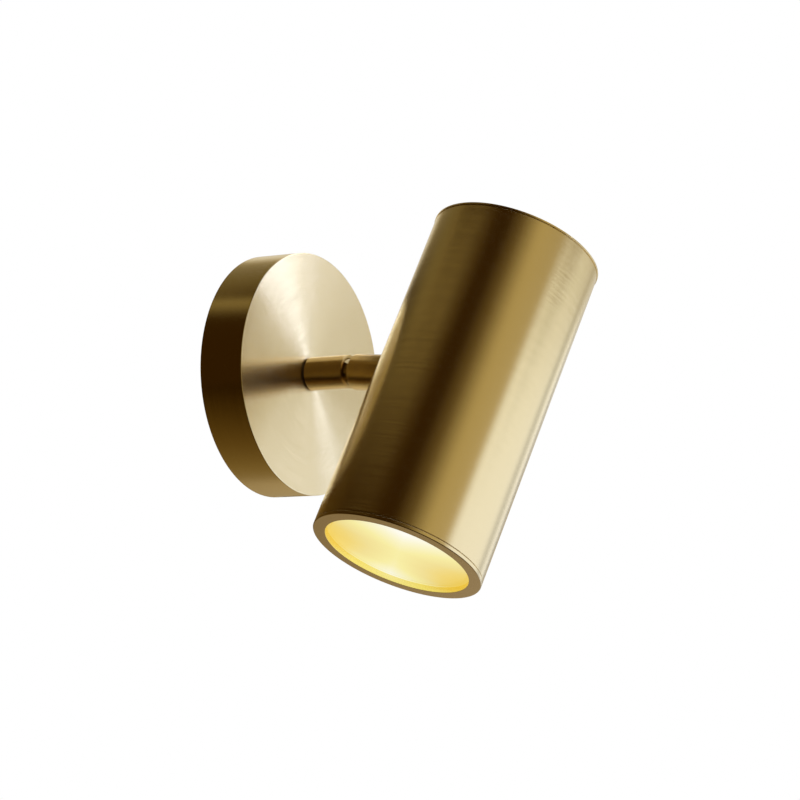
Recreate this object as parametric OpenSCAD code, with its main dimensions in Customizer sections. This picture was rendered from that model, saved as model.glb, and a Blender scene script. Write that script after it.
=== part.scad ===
// Wall sconce: a turned brass spot head on a ball swivel, carried by a round backplate.
// Origin: centre of the backplate's wall side, in the wall plane. The room is towards -Y, +Z is up.

/* [Backplate] */
// Diameter of the round backplate
plate_d = 120; // [114:1:140]
// Depth from the wall to the front face
plate_depth = 24; // [22:0.5:30]
// Thickness of the shell's side wall
plate_wall = 1.5; // [1:0.1:2]
// Thickness of the front disc
plate_front = 2; // [1.5:0.1:3]
// Chamfer round the front edge
plate_edge = 0.5; // [0.2:0.1:1]

/* [Wall bracket] */
// Width of the vertical strap
strap_w = 22; // [18:1:26]
// Sheet thickness of the strap
strap_t = 2; // [1.5:0.1:2.5]
// Height of the bent ears from the wall
ear_h = 14; // [12:0.5:17]
// Height of the plate screws from the wall
ear_screw_h = 8; // [7:0.5:9]
// Distance between the centres of the two slots
slot_spacing = 80; // [76:1:84]
// End-to-end length of a slot
slot_l = 16; // [10:1:18]
// Width of a slot
slot_w = 5; // [4:0.1:6]
// Distance from the side tab's end to the shell
tab_gap = 4.5; // [3:0.5:6]
// Width of the side tab
tab_w = 20; // [18:1:24]
// Distance from the terminal block to the side tab's end
tab_margin = 2; // [1:0.5:3]

/* [Plate screws] */
// Thread diameter of the two grub screws
grub_d = 4; // [3:0.5:5]
// Length of a grub screw
grub_l = 6; // [5:0.5:8]
// Hex socket of a grub screw, across flats
grub_key = 2; // [1.5:0.1:2.5]

/* [Earth screw] */
// Thread diameter of the earth screw
earth_d = 4; // [3.5:0.5:5]
// Head diameter of the earth screw
earth_head_d = 8; // [7:0.5:9]
// Head height of the earth screw
earth_head_h = 3; // [2:0.5:4]
// Width of the driver slot in its head
earth_slot_w = 1; // [0.8:0.1:1.4]
// Depth of the driver slot in its head
earth_slot_depth = 1.2; // [0.8:0.1:1.6]
// Height of the earth screw's place above the centre
earth_up = 22; // [18:1:24]
// Diameter of its cup washer
earth_washer_d = 10; // [9:0.5:12]
// Thickness of its cup washer
earth_washer_t = 0.8; // [0.5:0.1:1.2]
// Diameter of the ring tag on the earth lead
tag_d = 9; // [8:0.5:10]
// Thickness of the ring tag
tag_t = 0.8; // [0.6:0.1:1]
// Diameter of the tag's crimped barrel
crimp_d = 3.2; // [3:0.1:3.6]
// Length of the tag's crimped barrel
crimp_l = 5; // [4:0.5:6]

/* [Terminal block] */
// Length of the terminal block
block_l = 34; // [33:1:36]
// Width of the terminal block
block_w = 16; // [14:1:18]
// Height of the terminal block
block_h = 12; // [11:0.5:13]
// Distance between neighbouring terminals
block_pitch = 11; // [10.6:0.1:11.2]
// Outside diameter of a terminal barrel
barrel_d = 5; // [4.4:0.1:5.4]
// Wire bore of a terminal barrel
barrel_bore = 3.4; // [2.5:0.1:3.8]
// Distance of a barrel's ends inside the block's sides
barrel_sink = 0.5; // [0.3:0.1:1]
// Thread diameter of a clamp screw
clamp_d = 2.6; // [2:0.1:3]
// Distance that a clamp screw reaches into the wire bore
clamp_in = 0.5; // [0.2:0.1:1]
// Depth of a clamp screw below the top of its tower
clamp_sink = 0.8; // [0.4:0.1:1.4]
// Width of the driver slot in a clamp screw
clamp_slot_w = 0.5; // [0.4:0.1:0.8]
// Depth of the driver slot in a clamp screw
clamp_slot_depth = 0.8; // [0.5:0.1:1.2]
// Diameter of the block's fixing screw
block_screw_d = 2.5; // [2:0.1:3]
// Head diameter of the block's fixing screw
block_head_d = 4.6; // [4:0.1:4.8]
// Head height of the block's fixing screw
block_head_h = 1.6; // [1.2:0.1:2]

/* [Threaded tube] */
// Diameter of the threaded tube behind the swivel
tube_thread_d = 10; // [9:0.5:10.5]
// Wire bore of the threaded tube
tube_thread_bore = 7; // [5:0.5:8]
// Length of the threaded tube
tube_thread_l = 18; // [17:0.5:20]
// Distance that it stops short of the swivel plug's inner end
tube_stop = 0.5; // [0.2:0.1:2]
// Depth of the tube's plastic bush inside it
bush_l = 4; // [3:0.5:6]
// Thickness of the bush's lip on the tube's end
bush_lip = 1.5; // [1:0.1:2]
// Wall thickness of the bush
bush_wall = 0.8; // [0.6:0.1:1]
// Nut size across flats
nut_af = 14; // [13:0.5:16]
// Nut thickness
nut_t = 3; // [2.5:0.5:4]
// Outside diameter of the lock washer
lock_washer_d = 17; // [15:0.5:18]
// Thickness of the lock washer
lock_washer_t = 1; // [0.6:0.1:1.5]
// Length of the notches between its teeth
tooth_l = 1.5; // [1:0.1:2]
// Width of the notches between its teeth
notch_w = 1.2; // [0.8:0.1:2]

/* [Ball swivel] */
// Front rim of the socket, from the plate's face
socket_rise = 22.6; // [22:0.1:24]
// Wall thickness of the socket
socket_wall = 1.05; // [0.9:0.05:1.2]
// Thickness of the fibre washer between socket and plate
seat_t = 1; // [0.8:0.1:1.5]
// Diameter of the fibre washer
seat_d = 14.4; // [13:0.1:15]
// Extra radius of the socket's bore behind the ball
socket_relief = 0.2; // [0.1:0.05:0.4]
// Thickness of the friction cup's floor
cup_floor = 1.4; // [1:0.1:2]
// Diameter of the ball
ball_d = 14; // [13.4:0.1:14.2]
// Height of the socket's rim above the ball's centre
rim_over_ball = 3; // [2.8:0.1:3.4]
// Diameter of the ball's neck
neck_d = 6.6; // [6:0.1:7]
// Wire bore through ball and neck
neck_bore = 5; // [4:0.1:5.2]
// Distance from the ball's centre to the back face of the arm sleeve
sleeve_start = 8.6; // [8.4:0.1:10]
// Outside diameter of the arm sleeve
sleeve_d = 18; // [17:0.1:20]
// Bevel on the arm sleeve's ends
sleeve_edge = 0.5; // [0.2:0.1:1]
// Thickness of one disc spring
disc_spring_t = 0.5; // [0.3:0.1:0.7]
// Cone height of one disc spring
disc_spring_cone = 0.5; // [0.3:0.1:0.7]
// Width of the disc springs' hole beyond the wire bore, on each side
disc_spring_room = 0.5; // [0.3:0.1:1]

/* [Arm joint] */
// Thickness of a saddle spacer where it is thinnest
saddle_t = 1.2; // [0.8:0.1:2]
// Diameter of the saddle and the washer inside the head
saddle_d = 16; // [14.5:0.5:20]
// Thickness of the friction washer
friction_t = 1; // [0.6:0.1:1.5]
// Length of the stem beyond its nut
stem_out = 2; // [1:0.5:4]

/* [Head] */
// Outside diameter of the head's tube
head_d = 82.7; // [80:0.1:90]
// Length of the head, with bezel and cap
head_l = 168; // [164:1:180]
// Wall thickness of the head's tube
head_wall = 1.6; // [1.2:0.1:2]
// Distance from the ball's centre to the head's axis
arm_reach = 76.5; // [75:0.5:85]
// Height of the arm above the head's lower face
arm_height = 97.3; // [95:0.1:100]

/* [Bezel and glass] */
// Width of the bezel's flat face round the opening
bezel_face = 6.1; // [5.5:0.1:8]
// Height of the bezel's outer band
bezel_band = 1.8; // [1.2:0.1:4]
// Chamfer round the outer edge of the bezel's face
bezel_chamfer = 0.5; // [0.3:0.1:0.8]
// Depth of the bezel's spigot inside the tube
bezel_spigot = 8.5; // [7:0.5:10]
// Depth of the glass behind the bezel's face
glass_recess = 2.9; // [2:0.1:3]
// Thickness of the frosted glass
glass_t = 3; // [2:0.1:3.5]
// Overlap of the glass on the bezel's ledge
glass_ledge = 2.6; // [2:0.1:2.8]
// Thickness of the silicone ring behind the glass
gasket_t = 1.5; // [1:0.1:2]
// Thickness of the spring clip
clip_t = 1; // [0.8:0.1:1.2]
// Width of the spring clip's band
clip_w = 2; // [1.6:0.1:2.2]
// Depth of the clip's groove in the spigot
clip_groove = 0.6; // [0.3:0.1:0.7]
// Opening between the clip's ends
clip_gap = 14; // [8:1:20]

/* [Top cap] */
// Height of the cap's outer band
cap_band = 0.9; // [0.7:0.1:4]
// Amount by which the cap stands proud of the tube
cap_proud = 0.3; // [0:0.1:0.5]
// Depth of the cap's spigot inside the tube
cap_spigot = 8; // [6:0.5:10]
// Wall thickness of the cap's spigot
cap_spigot_wall = 1.6; // [1.2:0.1:2.4]
// Thickness of the cap's disc below its band
cap_web = 1.9; // [0.5:0.1:3]
// Distance from the axis to a screw boss
boss_reach = 26; // [25.5:0.5:30]
// Diameter of a screw boss
boss_d = 8; // [7:0.5:9]
// Height of a screw boss
boss_h = 7; // [6:0.5:8]

/* [Lampholder] */
// Sheet thickness of the bridge
bridge_t = 1.5; // [1:0.1:2]
// Width of the bridge
bridge_w = 16; // [14:1:20]
// Depth of the bridge from its feet to its web
bridge_drop = 10; // [8:0.5:12]
// Outside diameter of the lampholder
holder_d = 39; // [36:0.5:39]
// Length of the lampholder
holder_l = 44; // [42:0.5:46]
// Diameter of the rim at the lampholder's mouth
holder_rim_d = 42; // [40:0.5:44]
// Height of the rim at the lampholder's mouth
holder_rim_h = 6; // [4:0.5:8]
// Chamfer of the rim at the lampholder's mouth
holder_rim_edge = 1; // [0.5:0.1:1.4]
// Radial room round the threaded shell
cavity_room = 1.2; // [0.8:0.1:1.6]
// Thickness of the lampholder's floor
holder_floor = 12.5; // [11.5:0.5:14]
// Length of the threaded shell beyond the lamp's cap
shell_extra = 1.5; // [1:0.1:2]
// Sheet thickness of the threaded shell
shell_t = 0.5; // [0.4:0.1:0.6]
// Radial room between the lamp's cap and the threaded shell
shell_room = 0.3; // [0.2:0.1:0.5]
// Height of the centre contact
contact_l = 2.4; // [1.5:0.1:3]
// Diameter of the centre contact where it meets the floor
contact_d = 8; // [6:0.5:10]
// Diameter of the centre contact where it touches the lamp
contact_tip_d = 5; // [4:0.5:6]
// Distance of the lampholder's screws from its centre
holder_screw_reach = 11; // [9:0.5:12]
// Width of a lead terminal on the lampholder
terminal_w = 6; // [5:0.5:7]
// Length of a lead terminal
terminal_l = 6; // [5:0.5:7]
// Height of a lead terminal
terminal_h = 5.5; // [5:0.5:7]
// Diameter of its wire bore
terminal_bore = 2.4; // [2.2:0.1:2.6]
// Diameter of its clamp screw
terminal_screw_d = 2.6; // [2:0.1:3]
// Distance of a terminal from the middle of the lampholder, across the leads
terminal_spread = 7; // [5:0.5:8]
// Distance of a terminal from the middle of the lampholder, towards the arm
terminal_reach = 12.5; // [12:0.5:13]

/* [Lamp] */
// Diameter of the lamp's screw cap
lamp_cap_d = 26; // [25.5:0.1:26.4]
// Length of the lamp's screw cap
lamp_cap_l = 23.5; // [22:0.5:24]
// Height of the insulated tip on the lamp's cap
lamp_tip_l = 1.5; // [1:0.1:2]
// Diameter of the lamp's end contact
lamp_tip_d = 9; // [8:0.5:10]
// Chamfer of the lamp's cap round its tip
lamp_cap_edge = 1; // [0.5:0.1:1.5]
// Diameter of the lamp's globe
lamp_d = 60; // [55:1:62]
// Overall length of the lamp
lamp_l = 107; // [104:1:110]
// Height of the globe above its widest place
globe_skirt = 6; // [4:0.5:10]
// Wall thickness of the lamp's globe
globe_wall = 1.2; // [1:0.1:1.6]

/* [Leads] */
// Diameter of a lead over its insulation
lead_d = 1.8; // [1.6:0.1:2]
// Distance of each lead from the middle of the bores
lead_offset = 1.15; // [1.1:0.05:1.2]
// Distance by which the leads stop short where a joint turns
lead_gap = 0.5; // [0.3:0.1:1]

/* [Small screws] */
// Thread diameter of the bridge and lampholder screws
screw_d = 3; // [2.5:0.1:3.5]
// Head diameter of these screws
screw_head_d = 5.6; // [5:0.1:6]
// Head height of these screws
screw_head_h = 2; // [1.5:0.1:2.5]
// Length of these screws under the head
screw_l = 6; // [5:0.5:7]
// Width of the arms of a cross recess
recess_w = 0.7; // [0.5:0.1:1]

/* [Pose] */
// Turn of the arm round the wall's normal
pose_swivel = -53.8; // [-180:0.1:180]
// Lean of the arm away from the wall's normal
pose_tilt = 8.9; // [-30:0.1:30]
// Turn of the head round the arm
pose_spin = 28; // [-180:0.1:180]

/* [Fits] */
// Radial clearance of a thread or a push fit
thread_fit = 0.05; // [0.02:0.01:0.1]
// Radial clearance between the ball and its seats
ball_fit = 0.1; // [0.05:0.01:0.15]
// Clearance between faces that turn on each other
turn_fit = 0.2; // [0.1:0.05:0.3]
// Radial clearance of a screw in a plain hole
screw_fit = 0.2; // [0.1:0.05:0.4]
// Height of the shadow seams at the head's two ends
seam_h = 0.3; // [0.2:0.05:0.5]
// Depth of the shadow seams
seam_depth = 0.5; // [0.3:0.05:0.8]
// Small chamfer on turned edges
edge_break = 0.3; // [0.1:0.05:0.5]

/* [Hidden] */
$fn = 96;
// How far a cut runs past the face that it opens
past = 1;

brass = "#b5975a";
pale_brass = "#d6c79b";
steel = "#a7abb0";
nylon = "#e9e6dc";

plate_r = plate_d / 2;
plate_inner_r = plate_r - plate_wall;
plate_inside = plate_depth - plate_front;
ear_y = sqrt(pow(plate_inner_r - screw_fit, 2) - pow(strap_w / 2, 2));
tab_end = sqrt(pow(plate_inner_r, 2) - pow(tab_w / 2, 2)) - tab_gap;
block_x = tab_end - tab_margin - block_l / 2;
tower_w = block_pitch - block_head_d - 2 * screw_fit;
block_step = (block_h - barrel_d) / 4;
block_screw_x = block_x + block_pitch / 2;
clamp_low = barrel_bore / 2 - clamp_in;
clamp_l = block_h / 2 - clamp_sink - clamp_low;

washer_low = plate_inside - lock_washer_t;
nut_low = washer_low - nut_t;

thread_r = tube_thread_d / 2;
socket_low = plate_depth + seat_t;
socket_high = plate_depth + socket_rise;
ball_r = ball_d / 2;
ball_z = socket_high - rim_over_ball;
seat_r = ball_r + ball_fit;
socket_bore_r = seat_r + socket_relief;
socket_r = socket_bore_r + socket_wall;
mouth_r = sqrt(pow(seat_r, 2) - pow(rim_over_ball, 2));
spring_l = disc_spring_t + disc_spring_cone;
cup_low = ball_z - seat_r - cup_floor;
cup_high = ball_z - rim_over_ball;
plug_top = cup_low - 2 * spring_l - 2 * thread_fit;
tube_top = plug_top - tube_stop;
tube_bottom = tube_top - tube_thread_l;

head_r = head_d / 2;
head_inner_r = head_r - head_wall;
spigot_r = head_inner_r - thread_fit;
tube_low = bezel_band + seam_h;
tube_high = head_l - cap_band - seam_h;
cap_r = head_r + cap_proud;
seam_r = head_r - seam_depth;
opening_r = head_r - bezel_face;
glass_r = opening_r + glass_ledge;
glass_seat_r = glass_r + screw_fit;
glass_top = glass_recess + glass_t;
gasket_top = glass_top + gasket_t;
groove_r = glass_seat_r + clip_groove;
cap_low = head_l - cap_band - cap_web;
boss_low = cap_low - boss_h;
foot_low = boss_low - bridge_t;
bridge_r = boss_reach - boss_d / 2;
web_low = foot_low - bridge_drop;
holder_mouth = web_low - holder_l;
cavity_top = web_low - holder_floor;
lamp_top = cavity_top - contact_l;
lamp_low = lamp_top - lamp_l;
lamp_cap_top = lamp_top - lamp_tip_l;
lamp_cap_low = lamp_cap_top - lamp_cap_l;
lamp_cap_r = lamp_cap_d / 2;
globe_r = lamp_d / 2;
globe_z = lamp_low + globe_r;
globe_top = globe_z + globe_skirt;
body_r = sqrt(pow(globe_r, 2) - pow(globe_top - globe_z, 2));
shell_r = lamp_cap_r + shell_room;
shell_l = lamp_cap_l + shell_extra;
cavity_r = shell_r + shell_t + cavity_room;

terminal_bore_z = web_low + terminal_h / 2 - edge_break;
lead_r = lead_d / 2;
lead_drop = barrel_bore / 2 - lead_r - thread_fit;
tag_bore_z = strap_t + crimp_d / 2 + thread_fit;

sleeve_r = sleeve_d / 2;
saddle_r = saddle_d / 2;
tube_outer = arm_reach - head_r;
tube_inner = arm_reach - head_inner_r;
outer_saddle_low = tube_outer - thread_fit - saddle_t;
sleeve_end = outer_saddle_low - turn_fit;
outer_sag = head_r - sqrt(pow(head_r, 2) - pow(sleeve_r, 2));
inner_sag = head_inner_r - sqrt(pow(head_inner_r, 2) - pow(saddle_r, 2));
inner_saddle_high = tube_inner + thread_fit + inner_sag + saddle_t;
friction_low = inner_saddle_high + turn_fit;
arm_nut_low = friction_low + friction_t;
stem_end = arm_nut_low + nut_t + stem_out;

// Routes of the leads: steps from a fixed place at each end, and places chosen by hand between
function from(place, steps) = [for (step = steps) place + step];
function in_barrel(which) = [block_x + which * block_pitch, 0, strap_t + block_h / 2 - lead_drop];
function in_bore(side) = from([side * lead_offset, 0, 0], [[0, 0, 11.5], [0, 0, tube_top - lead_gap]]);
earth_route = concat(
    from(in_barrel(1), [[0, 2, 0], [0, 9.6, 0], [-0.9, 12.8, 0], [-3.3, 15.8, 0]]),
    [[38, 18, 7.2], [32, 20, 6.6], [24, 21.4, 5.6], [17, 21.9, 4.5]],
    from([0, earth_up, tag_bore_z], [[13, 0, 0], [7, 0, 0]])
);
plate_live_route = concat(
    from(in_barrel(-1), [[0, 2, 0], [0, 9, 0], [-0.7, 11.2, 0], [-2.7, 12.6, 0]]),
    [[18, 12.4, 7.3], [14.5, 10, 7], [10, 6.4, 6.6], [6, 3.3, 6.4], [3.4, 1.5, 7], [1.8, 0.5, 8.7]],
    in_bore(1)
);
plate_neutral_route = concat(
    from(in_barrel(0), [[0, 2, 0], [0, 9.4, 0], [-0.9, 12.4, 0], [-3.3, 14.6, 0]]),
    [[27.5, 15.4, 7.2], [22, 15.6, 7], [15, 14.4, 6.6], [8, 10.8, 6.4], [3, 6.6, 6.2]],
    [[0, 3.4, 6.6], [-1, 1.3, 8.4]],
    in_bore(-1)
);
function head_route(side) = concat(
    from([side * lead_offset, arm_reach - stem_end - lead_gap, arm_height], [
        [0, 0, 0], [side * 0.2, -2.5, 0.1], [side * 0.7, -4.6, 1.1],
        [side * 1.1, -5.8, 3.3], [side * 1.5, -6.2, 6.7]
    ]),
    [[side * 3.6, 24.6, 116], [side * 5, 24.6, 130]],
    from([side * terminal_spread, terminal_reach, terminal_bore_z], [
        [side * -0.5, 12.1, -7.4], [0, 11.7, -3.2], [0, 10.3, -1],
        [0, 7.9, -0.1], [0, 4, 0], [0, -2, 0]
    ])
);

// Placing: Z runs out of the wall, Y is up
module from_wall() {
    rotate([90, 0, 0]) children();
}

// Placing: origin at the ball's centre, Z along the arm, Y along the head's axis
module at_ball() {
    from_wall() translate([0, 0, ball_z])
        rotate([0, 0, pose_swivel]) rotate([pose_tilt, 0, 0]) rotate([0, 0, pose_spin])
            children();
}

// Placing: origin at the centre of the head's lower face, Z up the head, Y back to the arm
module at_head() {
    at_ball() translate([0, 0, arm_reach]) rotate([-90, 0, 0]) translate([0, 0, -arm_height])
        children();
}

module ring(outer_r, inner_r, height) {
    difference() {
        cylinder(r = outer_r, h = height);
        translate([0, 0, -past]) cylinder(r = inner_r, h = height + 2 * past);
    }
}

// Cylinder with a chamfer round both ends
module turned(radius, height, edge) {
    rotate_extrude() polygon([
        [0, 0], [radius - edge, 0], [radius, edge],
        [radius, height - edge], [radius - edge, height], [0, height]
    ]);
}

module hex(across_flats, height) {
    cylinder(r = across_flats / sqrt(3), h = height, $fn = 6);
}

// Cross-recessed cap screw: head below Z = 0, shank above
module cap_screw(shank_d, length, cap_d, cap_h) {
    recess_l = cap_d - 3 * recess_w;
    difference() {
        union() {
            translate([0, 0, -cap_h]) turned(cap_d / 2, cap_h, edge_break);
            cylinder(d = shank_d, h = length);
        }
        for (turn = [0, 90]) rotate([0, 0, turn])
            translate([-recess_l / 2, -recess_w / 2, -cap_h - past])
                cube([recess_l, recess_w, past + cap_h / 2]);
    }
}

module slot(length, width, height) {
    for (side = [-1, 1]) translate([0, side * (length - width) / 2, 0]) cylinder(d = width, h = height);
    translate([-width / 2, -(length - width) / 2, 0]) cube([width, length - width, height]);
}

module strap_hole(x, y, thread_radius) {
    translate([x, y, -past]) cylinder(r = thread_radius + thread_fit, h = strap_t + 2 * past);
}

// Steel strap against the wall, with bent ears for the plate screws and a tab for the terminals
module wall_bracket() {
    color(steel) from_wall() difference() {
        union() {
            translate([-strap_w / 2, -ear_y, 0]) cube([strap_w, 2 * ear_y, strap_t]);
            for (turn = [0, 180]) rotate([0, 0, turn])
                translate([-strap_w / 2, ear_y - strap_t, 0]) cube([strap_w, strap_t, ear_h]);
            translate([0, -tab_w / 2, 0]) cube([tab_end, tab_w, strap_t]);
        }
        for (side = [-1, 1]) translate([0, side * slot_spacing / 2, -past])
            slot(slot_l, slot_w, strap_t + 2 * past);
        for (turn = [0, 180]) rotate([0, 0, turn]) translate([0, ear_y + past, ear_screw_h])
            rotate([90, 0, 0]) cylinder(r = grub_d / 2 + thread_fit, h = strap_t + 2 * past);
        strap_hole(0, 0, thread_r);
        strap_hole(0, earth_up, earth_d / 2);
        strap_hole(block_screw_x, 0, block_screw_d / 2);
    }
}

// Spun brass cup that hides the bracket, with one hole for the arm and two for its screws
module backplate() {
    color(pale_brass) from_wall() difference() {
        rotate_extrude() polygon([
            [plate_inner_r, 0], [plate_r - edge_break, 0], [plate_r, edge_break],
            [plate_r, plate_depth - plate_edge], [plate_r - plate_edge, plate_depth],
            [0, plate_depth], [0, plate_inside],
            [plate_inner_r - plate_edge, plate_inside], [plate_inner_r, plate_inside - plate_edge]
        ]);
        translate([0, 0, plate_inside - past])
            cylinder(r = thread_r + screw_fit, h = plate_front + 2 * past);
        for (turn = [0, 180]) rotate([0, 0, turn]) translate([0, plate_r + past, ear_screw_h])
            rotate([90, 0, 0]) cylinder(r = grub_d / 2 + screw_fit, h = plate_wall + 2 * past);
    }
}

// Two hex-socket grub screws that hold the plate on the bracket's ears
module plate_screws() {
    color(brass) from_wall() for (turn = [0, 180]) rotate([0, 0, turn])
        translate([0, plate_r - edge_break, ear_screw_h]) rotate([90, 0, 0]) difference() {
            turned(grub_d / 2, grub_l, edge_break);
            translate([0, 0, -past]) hex(grub_key, grub_l / 2 + past);
        }
}

// Ring tag crimped on the end of the earth lead, under the washer
module earth_tag() {
    crimp_start = earth_washer_d / 2 + past;
    color("silver") from_wall() translate([0, earth_up, strap_t]) difference() {
        union() {
            cylinder(d = tag_d, h = tag_t);
            translate([0, -crimp_d / 2, 0]) cube([crimp_start + past, crimp_d, tag_t]);
            translate([crimp_start, 0, tag_bore_z - strap_t]) rotate([0, 90, 0])
                cylinder(d = crimp_d, h = crimp_l);
        }
        translate([0, 0, -past]) cylinder(r = earth_d / 2 + screw_fit, h = tag_t + 2 * past);
        translate([crimp_start - past, 0, tag_bore_z - strap_t]) rotate([0, 90, 0])
            cylinder(r = lead_r + thread_fit, h = crimp_l + 2 * past);
    }
}

module earth_washer() {
    color("gold") from_wall() translate([0, earth_up, strap_t + tag_t])
        ring(earth_washer_d / 2, earth_d / 2 + screw_fit, earth_washer_t);
}

// Green slotted screw for the earth lead
module earth_screw() {
    shank_l = earth_washer_t + tag_t + strap_t;
    color("green") from_wall() translate([0, earth_up, shank_l]) difference() {
        union() {
            turned(earth_head_d / 2, earth_head_h, edge_break);
            translate([0, 0, -shank_l]) cylinder(d = earth_d, h = shank_l + edge_break);
        }
        translate([-earth_head_d, -earth_slot_w / 2, earth_head_h - earth_slot_depth])
            cube([2 * earth_head_d, earth_slot_w, earth_slot_depth + past]);
    }
}

// Places of the three terminals, at the barrels' centres
module each_terminal() {
    for (place = [-1, 0, 1]) translate([block_x + place * block_pitch, 0, strap_t + block_h / 2])
        children();
}

// Places of the six clamp screws, at the barrels' centres
module each_clamp() {
    each_terminal() for (side = [-1, 1]) translate([0, side * block_w / 4, 0]) children();
}

// Nylon block that joins the supply to the lamp's leads
module terminal_block() {
    color(nylon) from_wall() difference() {
        union() {
            translate([block_x - block_l / 2, -block_w / 2, strap_t])
                cube([block_l, block_w, block_h - block_step]);
            each_terminal() translate([-tower_w / 2, -block_w / 2, 0])
                cube([tower_w, block_w, block_h / 2]);
        }
        each_terminal() rotate([90, 0, 0]) translate([0, 0, -block_w])
            cylinder(r = barrel_d / 2 + thread_fit, h = 2 * block_w);
        each_clamp() cylinder(r = clamp_d / 2 + screw_fit, h = block_h);
        translate([block_screw_x, 0, 0]) cylinder(r = block_screw_d / 2 + screw_fit, h = 2 * block_h);
    }
}

module terminal_barrels() {
    length = block_w - 2 * barrel_sink;
    color(brass) from_wall() difference() {
        each_terminal() rotate([90, 0, 0]) translate([0, 0, -length / 2])
            ring(barrel_d / 2, barrel_bore / 2, length);
        each_clamp() cylinder(r = clamp_d / 2 + thread_fit, h = block_h);
    }
}

module clamp_screws() {
    color(steel) from_wall() each_clamp() translate([0, 0, clamp_low]) difference() {
        cylinder(d = clamp_d, h = clamp_l);
        translate([-clamp_d, -clamp_slot_w / 2, clamp_l - clamp_slot_depth])
            cube([2 * clamp_d, clamp_slot_w, clamp_slot_depth + past]);
    }
}

module block_screw() {
    head_low = strap_t + block_h - block_step;
    color(steel) from_wall() translate([block_screw_x, 0, head_low]) mirror([0, 0, 1])
        cap_screw(block_screw_d, head_low, block_head_d, block_head_h);
}

// Threaded tube that clamps the plate between the swivel and the nut
module threaded_tube() {
    color(brass) from_wall() translate([0, 0, tube_bottom])
        ring(thread_r, tube_thread_bore / 2, tube_thread_l);
}

// Plastic bush that keeps the leads off the tube's end
module tube_bush() {
    bush_r = tube_thread_bore / 2 - thread_fit;
    color(nylon) from_wall() translate([0, 0, tube_bottom]) difference() {
        union() {
            translate([0, 0, -bush_lip]) turned(thread_r, bush_lip, edge_break);
            translate([0, 0, -edge_break]) cylinder(r = bush_r, h = bush_l + edge_break);
        }
        translate([0, 0, -bush_lip - past])
            cylinder(r = bush_r - bush_wall, h = bush_lip + bush_l + 2 * past);
    }
}

module tube_nut() {
    color(brass) from_wall() translate([0, 0, nut_low]) nut();
}

module nut() {
    difference() {
        hex(nut_af, nut_t);
        translate([0, 0, -past]) cylinder(r = thread_r + thread_fit, h = nut_t + 2 * past);
    }
}

// Washer with teeth round its edge, between the nut and the plate
module lock_washer() {
    color(steel) from_wall() translate([0, 0, washer_low]) difference() {
        ring(lock_washer_d / 2, thread_r + screw_fit, lock_washer_t);
        for (turn = [0:30:330]) rotate([0, 0, turn])
            translate([lock_washer_d / 2 - tooth_l, -notch_w / 2, -past])
                cube([2 * tooth_l, notch_w, lock_washer_t + 2 * past]);
    }
}

// Dark fibre washer, smaller than the socket, that leaves a shadow gap against the plate
module seat_washer() {
    color("#2b2119") from_wall() translate([0, 0, plate_depth])
        ring(seat_d / 2, thread_r + screw_fit, seat_t);
}

// Turned socket: the ball goes in from the back and is held by the spherical lip at the front
module swivel_socket() {
    color(brass) from_wall() difference() {
        translate([0, 0, socket_low]) turned(socket_r, socket_high - socket_low, edge_break);
        translate([0, 0, socket_low - past])
            cylinder(r = socket_bore_r, h = ball_z - socket_low + past);
        translate([0, 0, ball_z]) sphere(r = seat_r);
        translate([0, 0, socket_high - edge_break])
            cylinder(r1 = mouth_r, r2 = mouth_r + 2 * edge_break, h = 2 * edge_break);
    }
}

// Threaded plug that closes the socket's back and takes the threaded tube
module socket_plug() {
    color(brass) from_wall() translate([0, 0, socket_low])
        ring(socket_bore_r - thread_fit, thread_r + thread_fit, plug_top - socket_low);
}

// Two disc springs, inner edge to inner edge, that press the friction cup on the ball
module disc_springs() {
    outer_r = socket_bore_r - screw_fit;
    inner_r = tube_thread_bore / 2 + disc_spring_room;
    module disc() {
        rotate_extrude() polygon([
            [inner_r, disc_spring_cone], [outer_r, 0],
            [outer_r, disc_spring_t], [inner_r, spring_l]
        ]);
    }
    color(steel) from_wall() translate([0, 0, plug_top]) {
        disc();
        translate([0, 0, 2 * spring_l + thread_fit]) mirror([0, 0, 1]) disc();
    }
}

// Nylon cup behind the ball
module friction_cup() {
    color(nylon) from_wall() difference() {
        translate([0, 0, cup_low])
            ring(socket_bore_r - ball_fit, tube_thread_bore / 2, cup_high - cup_low);
        translate([0, 0, ball_z]) sphere(r = seat_r);
    }
}

// Ball, neck and threaded stem, turned in one piece and drilled for the leads
module swivel_ball() {
    stem_low = sleeve_start + sleeve_edge;
    color(brass) at_ball() difference() {
        union() {
            sphere(r = ball_r);
            cylinder(d = neck_d, h = stem_low + past);
            translate([0, 0, stem_low]) cylinder(r = thread_r, h = stem_end - stem_low);
        }
        translate([0, 0, -ball_d]) cylinder(d = neck_bore, h = ball_d + stem_end + past);
    }
}

module arm_sleeve() {
    color(brass) at_ball() translate([0, 0, sleeve_start]) difference() {
        turned(sleeve_r, sleeve_end - sleeve_start, sleeve_edge);
        translate([0, 0, -past]) cylinder(r = thread_r + thread_fit, h = sleeve_end);
    }
}

// The head's tube as a plain bar on the arm's far end, to shape what seats on it
module head_bar(radius) {
    translate([0, 0, arm_reach]) rotate([-90, 0, 0])
        translate([0, 0, -head_r]) cylinder(r = radius, h = 2 * head_r);
}

// Spacer between the sleeve's flat end and the outside of the tube
module outer_saddle() {
    color(brass) at_ball() difference() {
        translate([0, 0, outer_saddle_low]) ring(sleeve_r, thread_r + screw_fit, saddle_t + outer_sag + past);
        head_bar(head_r + thread_fit);
    }
}

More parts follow.
